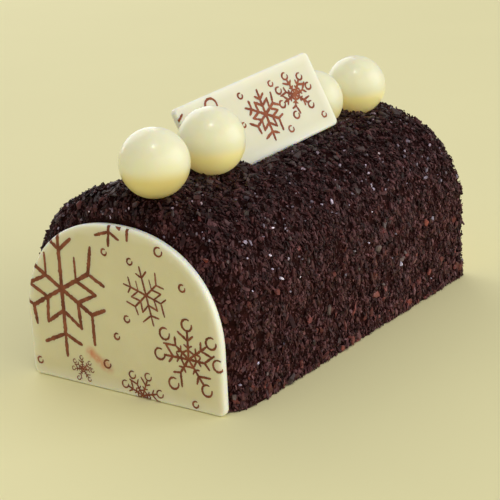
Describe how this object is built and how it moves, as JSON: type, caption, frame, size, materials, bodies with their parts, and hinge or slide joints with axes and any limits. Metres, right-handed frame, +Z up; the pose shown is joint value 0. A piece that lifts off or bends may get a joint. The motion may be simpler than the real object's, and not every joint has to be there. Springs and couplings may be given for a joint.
{
  "type": "yule log cake",
  "caption": "Dark yule log cake with a flaky chocolate coat, white chocolate end plates, and chocolate balls and a plaque along its ridge.",
  "frame": {"origin": "under the middle of the whole, on the surface the cake stands on", "axes": "+X along the log from the near end plate to the far one, +Z up; the plaque faces -Y"},
  "size_m": [0.1694, 0.0892, 0.0986],
  "materials": {
    "crust": "dark chocolate flakes, uneven, dull with small glints",
    "end_plate": "cast white chocolate, satin, with a brown snowflake print",
    "ball": "moulded white chocolate shell, satin gloss",
    "plaque": "cast white chocolate, satin"
  },
  "bodies": {
    "root": {"log": "crust", "end_plate_near": "end_plate", "end_plate_far": "end_plate", "ball_1": "ball", "ball_2": "ball", "ball_3": "ball", "ball_4": "ball", "plaque": "plaque"}
  },
  "joints": []
}
